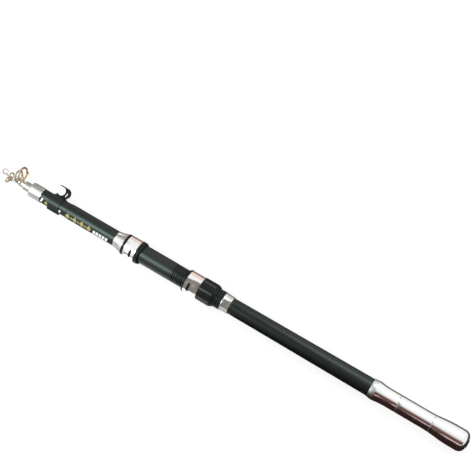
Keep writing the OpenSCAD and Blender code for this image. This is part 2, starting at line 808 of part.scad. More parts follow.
// Guides are listed as
// [collar station, collar length, collar radius, ring diameter, lean, roll, reach, clear]
// The legs of a guide stand clear of the hoop that reaches over its collar from behind
function guide(i, ring_d, lean, roll, reach, clear) =
  [tube_rear_x(i), collars[i], front_d(i) / 2 + guide_collar_wall, ring_d, lean, roll, reach, clear];
float_bore_r = section_d(last, float_x - float_travel) / 2 + slide_gap;
guide_2 = guide(1, ring_d_2, lean_rings, roll_2, reach_2, 0);
guide_3 = guide(2, ring_d_3, lean_rings, roll_3, reach_3, reach_2);
guide_4 = guide(3, ring_d_4, lean_rings, roll_4, reach_4, reach_3);
guide_5 = guide(4, ring_d_5, lean_rings, roll_5, reach_5, reach_4);
guide_float = [
  float_x, guide_collar_float, float_bore_r + guide_collar_wall,
  ring_d_float, lean_rings, roll_float, reach_float, reach_5
];
guide_tip = guide(last, ring_d_tip, lean_tip, roll_tip, 0, reach_float);

function ring_bar(g) = ring_bar_min + ring_bar_growth * g[3];
function ring_width(g) = ring_width_share * ring_bar(g);
function hoop_width(g) = hoop_width_share * ring_width(g);
function wire_r(g) = wire_min + wire_growth * g[3];
function hoop_r(g) = g[3] / 2 + hoop_wall;
function foot_height(g) = foot_min + foot_growth * g[3];

// Middle of a ring: the foot of its hoop stands ahead of the front edge of its collar
function ring_middle(g) = [
  g[0] + g[1] + g[6] + hoop_r(g) * sin(g[4]) - hoop_width(g) / 2 * cos(g[4]),
  0,
  g[2] + foot_height(g) + hoop_r(g) * cos(g[4])
];

// A point on the middle of the hoop wall, by its angle from the foot
function hoop_point(g, angle) = ring_middle(g)
  + (g[3] / 2 + hoop_wall / 2) * [-cos(angle) * sin(g[4]), sin(angle), -cos(angle) * cos(g[4])];

// Puts the +Z axis of a piece on the axis of a ring
module on_ring(g) {
  translate(ring_middle(g)) rotate([0, 90 + g[4], 0]) children();
}

module guide_ring(g) {
  ring_r = g[3] / 2 - glue_gap;
  half = ring_width(g) / 2;
  core_r = ring_r - ring_bar(g) + half;
  rolled(g[5]) on_ring(g) rotate_extrude() union() {
    translate([core_r, 0]) circle(r = half, $fn = small_fn);
    translate([core_r, -half]) square([ring_r - core_r, 2 * half]);
  }
}

// The collar is filled here: each guide cuts its own bore
module guide_body(g) {
  ring_r = g[3] / 2;
  hoop = hoop_width(g);
  thick = wire_r(g);
  root_r = g[2] - thick / 2;
  root_x = g[0] + g[7] + thick;
  foot_x = g[0] + g[1] - thick;
  rolled(g[5]) difference() {
    union() {
      bar(g[0], g[1], g[2], g[2]);
      on_ring(g) translate([0, 0, -hoop / 2]) cylinder(h = hoop, r = hoop_r(g));
      wire([foot_x, 0, g[2] - thick / 2], hoop_point(g, 0), thick);
      for (side = [-1, 1])
        wire(
          [root_x, side * root_r * sin(root_angle), root_r * cos(root_angle)],
          hoop_point(g, side * leg_angle),
          thick
        );
    }
    on_ring(g) translate([0, 0, -2 * hoop - 2 * thick]) cylinder(h = 4 * hoop + 4 * thick, r = ring_r);
  }
}

// A guide glued to the front of a drawn section
module guide_frame(i, g) {
  rear = g[0] - over;
  front = g[0] + g[1] + over;
  color("#c9ccd0") difference() {
    guide_body(g);
    bar(rear, front - rear, section_d(i, rear) / 2 + glue_gap, section_d(i, front) / 2 + glue_gap);
  }
}

module floating_guide_frame() {
  color("#c9ccd0") difference() {
    guide_body(guide_float);
    bar(float_x - over, guide_collar_float + 2 * over, float_bore_r, float_bore_r);
  }
}

module tip_top_frame() {
  rear = guide_tip[0] - over;
  color("#d8dade") difference() {
    guide_body(guide_tip);
    bar(rear, front_x(last) - rear, section_d(last, rear) / 2 + glue_gap, front_d(last) / 2 + glue_gap);
  }
}

module second_section() { section_tube(1); }
module third_section() { section_tube(2); }
module fourth_section() { section_tube(3); }
module fifth_section() { section_tube(4); }
module second_guide_frame() { guide_frame(1, guide_2); }
module third_guide_frame() { guide_frame(2, guide_3); }
module fourth_guide_frame() { guide_frame(3, guide_4); }
module fifth_guide_frame() { guide_frame(4, guide_5); }
module second_guide_ring() { color("#b58a3c") guide_ring(guide_2); }
module third_guide_ring() { color("#b58a3c") guide_ring(guide_3); }
module fourth_guide_ring() { color("#b58a3c") guide_ring(guide_4); }
module fifth_guide_ring() { color("#b58a3c") guide_ring(guide_5); }
module floating_guide_ring() { color("#b58a3c") guide_ring(guide_float); }
module tip_top_ring() { color("#d9d4c8") guide_ring(guide_tip); }

butt_handle();
butt_button();
butt_spigot();
section_cushion();
butt_section();
rear_trim_ring();
reel_seat_tube();
fixed_hood();
fixed_hood_liner();
front_trim_ring();
front_trim_cone();
front_sleeve();
mouth_ferrule();
sliding_hood();
sliding_hood_liner();
lock_nut();
hook_keeper();
second_section();
second_guide_frame();
second_guide_ring();
third_section();
third_guide_frame();
third_guide_ring();
fourth_section();
fourth_guide_frame();
fourth_guide_ring();
fifth_section();
fifth_guide_frame();
fifth_guide_ring();
tip_section();
floating_guide_frame();
floating_guide_ring();
tip_top_frame();
tip_top_ring();
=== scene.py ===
import json
import math

import bmesh
import bpy
from mathutils import Matrix, Vector

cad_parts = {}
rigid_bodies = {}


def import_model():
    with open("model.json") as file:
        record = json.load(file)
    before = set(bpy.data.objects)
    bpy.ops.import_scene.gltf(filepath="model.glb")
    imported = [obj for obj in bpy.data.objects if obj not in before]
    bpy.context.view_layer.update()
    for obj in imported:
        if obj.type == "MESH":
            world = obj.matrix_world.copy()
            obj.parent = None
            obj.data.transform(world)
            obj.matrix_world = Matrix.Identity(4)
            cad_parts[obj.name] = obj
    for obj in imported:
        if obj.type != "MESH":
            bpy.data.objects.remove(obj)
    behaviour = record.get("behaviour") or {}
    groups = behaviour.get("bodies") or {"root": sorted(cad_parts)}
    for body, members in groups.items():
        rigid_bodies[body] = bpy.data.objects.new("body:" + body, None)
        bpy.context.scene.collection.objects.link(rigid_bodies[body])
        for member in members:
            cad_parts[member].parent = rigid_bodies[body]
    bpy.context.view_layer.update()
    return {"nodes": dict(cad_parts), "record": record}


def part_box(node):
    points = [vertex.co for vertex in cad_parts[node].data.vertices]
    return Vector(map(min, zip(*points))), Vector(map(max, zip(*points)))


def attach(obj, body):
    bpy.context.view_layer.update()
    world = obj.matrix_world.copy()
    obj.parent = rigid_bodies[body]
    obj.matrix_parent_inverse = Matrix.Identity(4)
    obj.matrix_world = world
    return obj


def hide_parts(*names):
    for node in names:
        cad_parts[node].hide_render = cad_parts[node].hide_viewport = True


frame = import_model()

MM = 0.001
FULL_TURN = 2 * math.pi
NODES = frame["nodes"]
BODY_OF = {node: solid.parent.name.split(":")[1] for node, solid in NODES.items()}


def ends_of(node):
    """Rear and front end of a solid along the rod, in millimetres."""
    low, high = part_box(node)
    return low.x / MM, high.x / MM


def radius_of(node):
    """Largest radius of a turned solid, in millimetres."""
    return -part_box(node)[0].z / MM


# Camera, with its place in millimetres and its angles in degrees

IMAGE_SIDE = 474
FOCAL_PX = 1118
SENSOR = 36.0
VIEW_STATION = 79.6
VIEW_DISTANCE = 1205
VIEW_TILT = 19.00207
VIEW_SWING = 11.404
VIEW_LEAN = 3.191
VIEW_ROLL = 30.32407


def set_camera():
    """A camera above the near side, with the butt end towards the lower right of the picture."""
    tilt, swing, lean, roll = map(math.radians, (VIEW_TILT, VIEW_SWING, VIEW_LEAN, VIEW_ROLL))
    rod = Vector((1, 0, 0))
    away = Vector((0, math.sin(tilt), math.cos(tilt)))
    far_side = Vector((0, -math.cos(tilt), math.sin(tilt)))
    middle = rod * math.sin(swing) - away * math.cos(swing)
    sight = middle * math.cos(lean) + far_side * math.sin(lean)
    to_butt = -rod * math.cos(swing) - away * math.sin(swing)
    to_near = middle * math.sin(lean) - far_side * math.cos(lean)
    right = to_butt * math.cos(roll) - to_near * math.sin(roll)
    up = -(to_butt * math.sin(roll) + to_near * math.cos(roll))
    turn = Matrix((right, up, -sight)).transposed()
    place = (rod * VIEW_STATION + away * VIEW_DISTANCE) * MM
    camera = bpy.data.objects.new("camera", bpy.data.cameras.new("camera"))
    camera.data.sensor_width = SENSOR
    camera.data.lens = FOCAL_PX / IMAGE_SIDE * SENSOR
    camera.matrix_world = Matrix.Translation(place) @ turn.to_4x4()
    bpy.context.scene.collection.objects.link(camera)
    bpy.context.scene.camera = camera


set_camera()


# Shader groups that several finishes share

NUMBER, COLOUR = "NodeSocketFloat", "NodeSocketColor"
NOISE_MIDDLE = 0.5
MIX_FIRST, MIX_SECOND, MIX_RESULT = 6, 7, 2


def new_group(name, inputs, outputs):
    """An empty shader group with named sockets."""
    group = bpy.data.node_groups.new(name, "ShaderNodeTree")
    for label, kind, value in inputs:
        group.interface.new_socket(label, in_out="INPUT", socket_type=kind).default_value = value
    for label, kind in outputs:
        group.interface.new_socket(label, in_out="OUTPUT", socket_type=kind)
    return group, group.nodes.new("NodeGroupInput"), group.nodes.new("NodeGroupOutput")


def feed(tree, socket, value):
    """Sets a socket to a number, or links it to another node."""
    if isinstance(value, (int, float)):
        socket.default_value = value
    else:
        tree.links.new(value, socket)


def math_node(tree, operation, first, second):
    node = tree.nodes.new("ShaderNodeMath")
    node.operation = operation
    feed(tree, node.inputs[0], first)
    feed(tree, node.inputs[1], second)
    return node.outputs[0]


def noise_node(tree, scale, detail):
    """Noise that is fixed to the piece."""
    place = tree.nodes.new("ShaderNodeTexCoord")
    node = tree.nodes.new("ShaderNodeTexNoise")
    node.inputs["Detail"].default_value = detail
    tree.links.new(place.outputs["Object"], node.inputs["Vector"])
    feed(tree, node.inputs["Scale"], scale)
    return node.outputs["Fac"]


def lathe_marks_group():
    """Fine rings round the rod, as a lathe or a polishing belt leaves them."""
    group, enter, leave = new_group("lathe_marks", [("Lines", NUMBER, 900.0)], [("Mask", NUMBER)])
    place = group.nodes.new("ShaderNodeTexCoord")
    split = group.nodes.new("ShaderNodeSeparateXYZ")
    group.links.new(place.outputs["Object"], split.inputs[0])
    rings = group.nodes.new("ShaderNodeTexNoise")
    rings.noise_dimensions = "1D"
    rings.inputs["Detail"].default_value = 3.0
    rings.inputs["Scale"].default_value = 1.0
    along = math_node(group, "MULTIPLY", split.outputs["X"], enter.outputs["Lines"])
    group.links.new(along, rings.inputs["W"])
    group.links.new(rings.outputs["Fac"], leave.inputs["Mask"])
    return group


def handling_group():
    """Uneven gloss from hands and cloths."""
    group, enter, leave = new_group(
        "handling",
        [("Roughness", NUMBER, 0.3), ("Amount", NUMBER, 0.1), ("Patches", NUMBER, 90.0)],
        [("Roughness", NUMBER)],
    )
    cloud = noise_node(group, enter.outputs["Patches"], detail=4.0)
    centred = math_node(group, "SUBTRACT", cloud, NOISE_MIDDLE)
    change = math_node(group, "MULTIPLY", centred, enter.outputs["Amount"])
    total = math_node(group, "ADD", change, enter.outputs["Roughness"])
    group.links.new(total, leave.inputs["Roughness"])
    return group


def two_tone_group():
    """A colour that drifts slightly between two tones."""
    grey = (0.5, 0.5, 0.5, 1)
    group, enter, leave = new_group(
        "two_tone",
        [("First", COLOUR, grey), ("Second", COLOUR, grey), ("Patches", NUMBER, 60.0)],
        [("Color", COLOUR)],
    )
    cloud = noise_node(group, enter.outputs["Patches"], detail=3.0)
    mix = group.nodes.new("ShaderNodeMix")
    mix.data_type = "RGBA"
    group.links.new(cloud, mix.inputs["Factor"])
    group.links.new(enter.outputs["First"], mix.inputs[MIX_FIRST])
    group.links.new(enter.outputs["Second"], mix.inputs[MIX_SECOND])
    group.links.new(mix.outputs[MIX_RESULT], leave.inputs["Color"])
    return group


LATHE_MARKS = lathe_marks_group()
HANDLING = handling_group()
TWO_TONE = two_tone_group()


# Finishes

METAL_TONE_PATCHES, METAL_GLOSS_PATCHES = 45.0, 120.0
METAL_MARK_DEPTH = 0.02 * MM
PAINT_TONE_PATCHES, PAINT_GLOSS_PATCHES = 70.0, 150.0
PAINT_GRAIN_DEPTH = 0.03 * MM
NO_TINT = (1, 1, 1)


def new_finish(name):
    finish = bpy.data.materials.new(name)
    finish.use_nodes = True
    tree = finish.node_tree
    return finish, tree, tree.nodes["Principled BSDF"]


def placed(tree, group, **values):
    """A shared group, set up for one finish."""
    node = tree.nodes.new("ShaderNodeGroup")
    node.node_tree = group
    for label, value in values.items():
        node.inputs[label].default_value = value
    return node


def two_toned(tree, socket, first, second, patches):
    """Feeds a colour socket with two tones."""
    tone = placed(tree, TWO_TONE, First=(*first, 1), Second=(*second, 1), Patches=patches)
    tree.links.new(tone.outputs["Color"], socket)


def bumped(tree, shader, height, strength, depth):
    bump = tree.nodes.new("ShaderNodeBump")
    bump.inputs["Strength"].default_value = strength
    bump.inputs["Distance"].default_value = depth
    tree.links.new(height, bump.inputs["Height"])
    tree.links.new(bump.outputs[0], shader.inputs["Normal"])


def metal_finish(name, first, second, roughness, unevenness, lines, bump):
    """Bare or plated metal with rings of polishing marks."""
    finish, tree, shader = new_finish(name)
    shader.inputs["Metallic"].default_value = 1.0
    two_toned(tree, shader.inputs["Base Color"], first, second, METAL_TONE_PATCHES)
    marks = placed(tree, LATHE_MARKS, Lines=lines)
    gloss = placed(
        tree, HANDLING, Roughness=roughness, Amount=unevenness, Patches=METAL_GLOSS_PATCHES)
    centred = math_node(tree, "SUBTRACT", marks.outputs["Mask"], NOISE_MIDDLE)
    lined = math_node(tree, "MULTIPLY", centred, unevenness)
    total = math_node(tree, "ADD", gloss.outputs["Roughness"], lined)
    tree.links.new(total, shader.inputs["Roughness"])
    bumped(tree, shader, marks.outputs["Mask"], bump, METAL_MARK_DEPTH)
    return finish


def painted_finish(name, first, second, roughness, unevenness, grain, bump, gloss=0.5, tint=NO_TINT):
    """Lacquer, anodising, ink or moulded plastic."""
    finish, tree, shader = new_finish(name)
    two_toned(tree, shader.inputs["Base Color"], first, second, PAINT_TONE_PATCHES)
    sheen = placed(
        tree, HANDLING, Roughness=roughness, Amount=unevenness, Patches=PAINT_GLOSS_PATCHES)
    tree.links.new(sheen.outputs["Roughness"], shader.inputs["Roughness"])
    shader.inputs["Specular IOR Level"].default_value = gloss
    shader.inputs["Specular Tint"].default_value = (*tint, 1)
    bumped(tree, shader, noise_node(tree, grain, detail=2.0), bump, PAINT_GRAIN_DEPTH)
    return finish


COOL_SHEEN = (0.80, 0.98, 0.92)
TURNED_ALUMINIUM = metal_finish(
    "turned_aluminium", (0.92, 0.92, 0.91), (0.87, 0.87, 0.87),
    roughness=0.17, unevenness=0.08, lines=2600.0, bump=0.25)
BRUSHED_ALUMINIUM = metal_finish(
    "brushed_aluminium", (0.74, 0.75, 0.73), (0.62, 0.63, 0.62),
    roughness=0.36, unevenness=0.12, lines=3200.0, bump=0.4)
BRIGHT_STEEL = metal_finish(
    "bright_steel", (0.93, 0.92, 0.91), (0.87, 0.87, 0.86),
    roughness=0.14, unevenness=0.06, lines=1800.0, bump=0.15)
GUIDE_STEEL = metal_finish(
    "guide_steel", (0.80, 0.80, 0.79), (0.72, 0.72, 0.71),
    roughness=0.16, unevenness=0.06, lines=3000.0, bump=0.1)
RING_GOLD = metal_finish(
    "ring_gold", (0.84, 0.62, 0.36), (0.70, 0.50, 0.27),
    roughness=0.32, unevenness=0.08, lines=2000.0, bump=0.1)
RING_PALE = metal_finish(
    "ring_pale", (0.80, 0.78, 0.74), (0.72, 0.70, 0.67),
    roughness=0.25, unevenness=0.08, lines=2000.0, bump=0.1)
BLANK_BLACK = painted_finish(
    "blank_black", (0.004, 0.0043, 0.0043), (0.006, 0.0064, 0.0064),
    roughness=0.34, unevenness=0.08, grain=2500.0, bump=0.10, tint=COOL_SHEEN)
SEAT_BLACK = painted_finish(
    "seat_black", (0.007, 0.0080, 0.0080), (0.010, 0.0110, 0.0110),
    roughness=0.34, unevenness=0.08, grain=3500.0, bump=0.12, tint=COOL_SHEEN)
MATT_BLACK = painted_finish(
    "matt_black", (0.005, 0.0055, 0.0055), (0.008, 0.0085, 0.0085),
    roughness=0.42, unevenness=0.08, grain=3000.0, bump=0.15, gloss=0.2, tint=COOL_SHEEN)
# Painted highlight: a paler black for the nut's ridges, standing in for the light line that a ridge catches.
RIDGE_HIGHLIGHT = painted_finish(
    "worn_edge", (0.034, 0.039, 0.039), (0.024, 0.029, 0.029),
    roughness=0.36, unevenness=0.10, grain=3000.0, bump=0.15)
# Painted shade: a darker, duller black laid in the thread's grooves, where shade falls.
THREAD_GROOVE_SHADE = painted_finish(
    "thread_root", (0.004, 0.0045, 0.0045), (0.006, 0.0066, 0.0066),
    roughness=0.60, unevenness=0.10, grain=3500.0, bump=0.12, gloss=0.12)
CLIP_BLACK = painted_finish(
    "clip_black", (0.005, 0.0052, 0.0050), (0.008, 0.0082, 0.0080),
    roughness=0.38, unevenness=0.10, grain=2200.0, bump=0.20, gloss=0.42, tint=COOL_SHEEN)
HOOK_BLACK = painted_finish(
    "hook_black", (0.004, 0.0042, 0.0042), (0.007, 0.0073, 0.0073),
    roughness=0.50, unevenness=0.10, grain=2200.0, bump=0.20, gloss=0.10)
SOFT_RUBBER = painted_finish(
    "soft_rubber", (0.006, 0.006, 0.006), (0.010, 0.010, 0.010),
    roughness=0.55, unevenness=0.10, grain=1800.0, bump=0.35, gloss=0.2)
GOLD_PRINT = painted_finish(
    "gold_print", (0.44, 0.36, 0.15), (0.34, 0.27, 0.10),
    roughness=0.40, unevenness=0.10, grain=2600.0, bump=0.15)
WHITE_PRINT = painted_finish(
    "white_print", (0.82, 0.82, 0.80), (0.74, 0.74, 0.72),
    roughness=0.45, unevenness=0.10, grain=2600.0, bump=0.15)

FINISH_OF_SLOT = {
    "turned_aluminium": TURNED_ALUMINIUM,
    "bright_steel": BRIGHT_STEEL,
    "guide_steel": GUIDE_STEEL,
    "ring_gold": RING_GOLD,
    "ring_pale": RING_PALE,
    "gloss_black": BLANK_BLACK,
    "seat_black": SEAT_BLACK,
    "clip_black": CLIP_BLACK,
    "inner_plastic": SOFT_RUBBER,
    "soft_rubber": SOFT_RUBBER,
}
SLOT_OF_NODE = {row["node"]: row["material_slot"] for row in frame["record"]["subparts"]}
FINISH_OF_NODE = {node: FINISH_OF_SLOT[slot] for node, slot in SLOT_OF_NODE.items()}
for node in ("fixed_hood_liner", "sliding_hood_liner", "front_trim_ring", "lock_nut"):
    FINISH_OF_NODE[node] = MATT_BLACK
for node, solid in NODES.items():
    solid.data.materials.clear()
    solid.data.materials.append(FINISH_OF_NODE[node])


# Ways of making a mesh, with angles in degrees

FINE = 128
SOFTEN_FROM = 24
CREASE_FROM = 20
FLAT_WITHIN = 0.5

# Points closer than these lengths, in metres, are one

WELD = 2e-6
ON_WALL = 1e-6
FINE_WELD = 2e-7
HAIR = 1e-7


def turn_into(bm, outline, steps=FINE, closed=True):
    """Spins an outline of (station, radius) points, in millimetres, about the rod's axis."""
    verts = [bm.verts.new((x * MM, 0, r * MM)) for x, r in outline]
    pairs = list(zip(verts, verts[1:]))
    if closed:
        pairs.append((verts[-1], verts[0]))
    edges = [bm.edges.new(pair) for pair in pairs]
    bmesh.ops.spin(
        bm, geom=verts + edges, cent=(0, 0, 0), axis=(1, 0, 0), angle=FULL_TURN, steps=steps,
        use_merge=True)


def soften(bm, width):
    """Takes the edge off every sharp corner."""
    limit = math.radians(SOFTEN_FROM)
    sharp = [e for e in bm.edges if e.is_manifold and e.calc_face_angle(0.0) > limit]
    bmesh.ops.bevel(
        bm, geom=sharp, offset=width * MM, offset_type="OFFSET", affect="EDGES", segments=2,
        profile=0.5, material=-1, clamp_overlap=True)


def turned(outline, edge, steps=FINE):
    """A closed turned solid, with the width of its softened corners."""
    bm = bmesh.new()
    turn_into(bm, outline, steps)
    bmesh.ops.remove_doubles(bm, verts=bm.verts, dist=FINE_WELD)
    bmesh.ops.dissolve_degenerate(bm, edges=bm.edges, dist=HAIR)
    bmesh.ops.recalc_face_normals(bm, faces=bm.faces)
    soften(bm, edge)
    return bm


def solid_copy(node, edge):
    """A welded copy of a solid, with the width of its softened corners."""
    bm = bmesh.new()
    bm.from_mesh(NODES[node].data)
    bmesh.ops.remove_doubles(bm, verts=bm.verts, dist=WELD)
    bmesh.ops.dissolve_limit(
        bm, angle_limit=math.radians(FLAT_WITHIN), verts=bm.verts, edges=bm.edges)
    bmesh.ops.recalc_face_normals(bm, faces=bm.faces)
    soften(bm, edge)
    return bm


def shown_mesh(name, bm, *finishes):
    """An object at the origin with the mesh and its finishes."""
    mesh = bpy.data.meshes.new(name)
    bm.to_mesh(mesh)
    bm.free()
    for finish in finishes:
        mesh.materials.append(finish)
    shown = bpy.data.objects.new(name, mesh)
    bpy.context.scene.collection.objects.link(shown)
    return shown


def piece(name, bm, node, *more_finishes):
    """Puts a finished mesh in the place of a solid."""
    shown = shown_mesh(name, bm, FINISH_OF_NODE[node], *more_finishes)
    shown.data.shade_smooth()
    shown.data.set_sharp_from_angle(angle=math.radians(CREASE_FROM))
    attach(shown, BODY_OF[node])
    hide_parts(node)


# Curved stretches of an outline

def quarter_turn(steps):
    return [math.pi / 2 * k / steps for k in range(steps + 1)]


def level_arc(x, r, run, rise, steps=12):
    """Points of an arc that leaves a level line at (x, r)."""
    radius = (run * run + rise * rise) / (2 * abs(rise))
    side = math.copysign(1, rise)
    spots = [run * k / steps for k in range(1, steps + 1)]
    return [(x + d, r + side * (radius - math.sqrt(radius * radius - d * d))) for d in spots]


def settling_arc(x, r, run, rise, steps=12):
    """Points of an arc that runs from (x, r) into a level line."""
    back = level_arc(0, 0, run, rise, steps)
    return [(x + run - d, r + rise - h) for d, h in reversed([(0, 0)] + back[:-1])]


def bead(x, length, r, rise, steps=10):
    """Points of a rounded bead."""
    return [
        (x + length * k / steps, r + rise * math.sqrt(1 - (2 * k / steps - 1) ** 2))
        for k in range(steps + 1)
    ]


def scribed(outline, middle, width, depth):
    """Cuts a narrow groove with slanted walls into an outline."""
    before = [p for p in outline if p[0] < middle - width]
    after = [p for p in outline if p[0] > middle + width]
    share = (middle - before[-1][0]) / (after[0][0] - before[-1][0])
    r = before[-1][1] + share * (after[0][1] - before[-1][1])
    groove = [
        (middle - width / 2, r),
        (middle - width / 5, r - depth),
        (middle + width / 5, r - depth),
        (middle + width / 2, r),
    ]
    return before + groove + after


# Butt section, and the room that the pieces on it leave round it

TUBE_REAR, TUBE_MOUTH = ends_of("butt_section")
TUBE_REAR_R, TUBE_MOUTH_R = radius_of("butt_section"), 8.1
TUBE_REAR_BORE, TUBE_MOUTH_BORE = 8.46, 6.5
TUBE_RINGS = (200, 300, 400)
FIT = 0.03


def butt_radius(station):
    """Outside of the long tapered butt section."""
    share = (TUBE_MOUTH - station) / (TUBE_MOUTH - TUBE_REAR)
    return TUBE_MOUTH_R + share * (TUBE_REAR_R - TUBE_MOUTH_R)


def snug(station):
    """Bore of a piece that sits on the butt section."""
    return butt_radius(station) + FIT


def butt_tube():
    skin = [(x, butt_radius(x)) for x in (TUBE_REAR, *TUBE_RINGS, TUBE_MOUTH)]
    outline = [(TUBE_REAR, TUBE_REAR_BORE)] + skin + [(TUBE_MOUTH, TUBE_MOUTH_BORE)]
    piece("butt_tube", turned(outline, edge=0.1), "butt_section")


# Handle

HANDLE_REAR, HANDLE_FRONT = ends_of("butt_handle")
COLLAR_NOSE = 6.5
SCRIBED_RINGS = (42.5, 82.5)
SCRIBE_WIDTH = 0.9
SCRIBE_DEPTH = 0.3


def handle_skin():
    """Outside of the handle: round end, flare, waist and collar. Rings on the waist even its shading."""
    flat, flare, waist, waist_rings = 4.7, radius_of("butt_handle"), 10.05, (60, 76)
    round_run, land, half_sweep = 7.5, 8, 17
    collar_run, collar_rise = 16, 1.315
    corner = [
        (HANDLE_REAR + round_run * (1 - math.cos(t)), flat + (flare - flat) * math.sin(t))
        for t in quarter_turn(24)
    ]
    land_end = HANDLE_REAR + round_run + land
    half_fall = (waist - flare) / 2
    collar_rear = HANDLE_FRONT - COLLAR_NOSE - collar_run
    skin = corner + [(land_end, flare)]
    skin += level_arc(land_end, flare, half_sweep, half_fall)
    skin += settling_arc(land_end + half_sweep, flare + half_fall, half_sweep, half_fall)
    skin += [(x, waist) for x in (*waist_rings, collar_rear)]
    skin += level_arc(collar_rear, waist, collar_run, collar_rise)
    for middle in SCRIBED_RINGS:
        skin = scribed(skin, middle, SCRIBE_WIDTH, SCRIBE_DEPTH)
    return skin


def handle():
    """The turned handle, dull in its scribed rings and on the nose of its collar."""
    edge_wall, edge_run, edge_rise = 0.32, 0.3, 0.14
    bore, bore_end = 8.05, 3.0
    edge = snug(HANDLE_FRONT) + edge_wall
    nose = [(HANDLE_FRONT - edge_run, edge + edge_rise), (HANDLE_FRONT, edge)]
    socket = [(HANDLE_FRONT, snug(HANDLE_FRONT)), (TUBE_REAR, snug(TUBE_REAR))]
    hollow = [(TUBE_REAR, bore), (bore_end, bore), (bore_end, 0)]
    bm = turned([(HANDLE_REAR, 0)] + handle_skin() + nose + socket + hollow, edge=0.05)
    ring_reach = 0.51 * SCRIBE_WIDTH
    for face in bm.faces:
        station = face.calc_center_median().x / MM
        in_ring = any(abs(station - middle) < ring_reach for middle in SCRIBED_RINGS)
        face.material_index = int(in_ring or station > HANDLE_FRONT - COLLAR_NOSE)
    piece("handle", bm, "butt_handle", BRUSHED_ALUMINIUM)


# Trim in front of and behind the reel seat, front sleeve and ferrule

SLEEVE_REAR, SLEEVE_FRONT = ends_of("front_sleeve")
SLEEVE_R = radius_of("front_sleeve")
SLEEVE_RAMP, SLEEVE_EDGE_WALL = 4, 0.15
SLEEVE_EDGE_R = snug(SLEEVE_FRONT) + SLEEVE_EDGE_WALL


def trim_ring():
    """The tapered ring behind the reel seat, with a bead at its front."""
    wall, taper_r, bead_len, bead_r, bead_rise, step_run = 0.65, 10.36, 1.6, 10.42, 0.26, 0.1
    rear, front = ends_of("rear_trim_ring")
    outline = [(rear, snug(rear)), (rear, snug(rear) + wall), (front - bead_len - step_run, taper_r)]
    outline += bead(front - bead_len, bead_len, bead_r, bead_rise)
    outline += [(front, snug(front))]
    piece("trim_ring", turned(outline, edge=0.12), "rear_trim_ring")


def black_ring():
    rear, front = ends_of("front_trim_ring")
    reach = radius_of("front_trim_ring")
    outline = [(rear, snug(rear)), (rear, reach), (front, reach), (front, snug(front))]
    piece("black_ring", turned(outline, edge=0.35), "front_trim_ring")


def silver_cone():
    """The hollow-sided cone in front of the reel seat."""
    edge_wall, hollow, steps = 0.4, 1.4, 16
    rear, front = ends_of("front_trim_cone")
    wide, narrow = radius_of("front_trim_cone"), snug(front) + edge_wall
    skin = [
        (rear + (front - rear) * t, wide + (narrow - wide) * t - hollow * t * (1 - t))
        for t in (k / steps for k in range(steps + 1))
    ]
    outline = [(rear, snug(rear))] + skin + [(front, snug(front))]
    piece("silver_cone", turned(outline, edge=0.15), "front_trim_cone")


def sleeve():
    outline = [
        (SLEEVE_REAR, snug(SLEEVE_REAR)), (SLEEVE_REAR, SLEEVE_R), (SLEEVE_FRONT - SLEEVE_RAMP, SLEEVE_R),
        (SLEEVE_FRONT, SLEEVE_EDGE_R), (SLEEVE_FRONT, snug(SLEEVE_FRONT)),
    ]
    piece("sleeve", turned(outline, edge=0.06, steps=96), "front_sleeve")


def ferrule():
    """The bright sleeve round the mouth, with a rounded lip."""
    bore, lip_r = 6.56, 1.4
    rear, front = ends_of("mouth_ferrule")
    reach = radius_of("mouth_ferrule")
    lip = [
        (front - lip_r + lip_r * math.sin(t), reach - lip_r + lip_r * math.cos(t))
        for t in quarter_turn(12)
    ]
    outline = [(rear, snug(rear)), (rear, reach)] + lip
    outline += [(front, bore), (TUBE_MOUTH, bore), (TUBE_MOUTH, snug(TUBE_MOUTH))]
    piece("ferrule", turned(outline, edge=0.08), "mouth_ferrule")


# Drawn sections: the wedge that stays inside is a little steeper than the rest

OVERLAP = 42


def drawn_tube(name, wedge_r, front_r, wall):
    node = name + "_section"
    rear, front = ends_of(node)
    rear_r = radius_of(node)
    outline = [
        (rear, rear_r - wall), (rear, rear_r), (rear + OVERLAP, wedge_r), (front, front_r),
        (front, front_r - wall),
    ]
    piece(name + "_tube", turned(outline, edge=0.08, steps=72), node)


def tip_rod():
    wedge_r, front_r = 1.0, 0.65
    rear, front = ends_of("tip_section")
    rear_r = radius_of("tip_section")
    outline = [(rear, 0), (rear, rear_r), (rear + OVERLAP, wedge_r), (front, front_r), (front, 0)]
    piece("tip_rod", turned(outline, edge=0.06, steps=48), "tip_section")


handle()
butt_tube()
trim_ring()
black_ring()
silver_cone()
sleeve()
ferrule()
drawn_tube("second", wedge_r=6.44, front_r=4.84, wall=0.95)
drawn_tube("third", wedge_r=3.83, front_r=3.53, wall=0.75)
drawn_tube("fourth", wedge_r=2.72, front_r=2.47, wall=0.65)
drawn_tube("fifth", wedge_r=1.76, front_r=1.56, wall=0.5)
tip_rod()


# Reel seat tube with its thread and keyway

SEAT_REAR, SEAT_FRONT = ends_of("reel_seat_tube")
SEAT_R = radius_of("reel_seat_tube")
THREAD_LENGTH, THREAD_DEPTH, PITCH = 63.9, 0.75, 2.5
THREAD_FRONT = SEAT_REAR + THREAD_LENGTH
THREAD_STEPS = 96
KEYWAY_ROLL, KEYWAY_HALF, KEYWAY_DEPTH = 318, 1.5, 0.8
KEYWAY_FLOOR = SEAT_R - KEYWAY_DEPTH
# Depth in millimetres below the crest where the thread's faces get the painted groove shade.
SHADE_BELOW = 0.3


def roll_side(roll):
    """The way out from the rod's axis at a roll angle, in degrees."""
    t = math.radians(roll)
    return Vector((0, -math.cos(t), math.sin(t)))


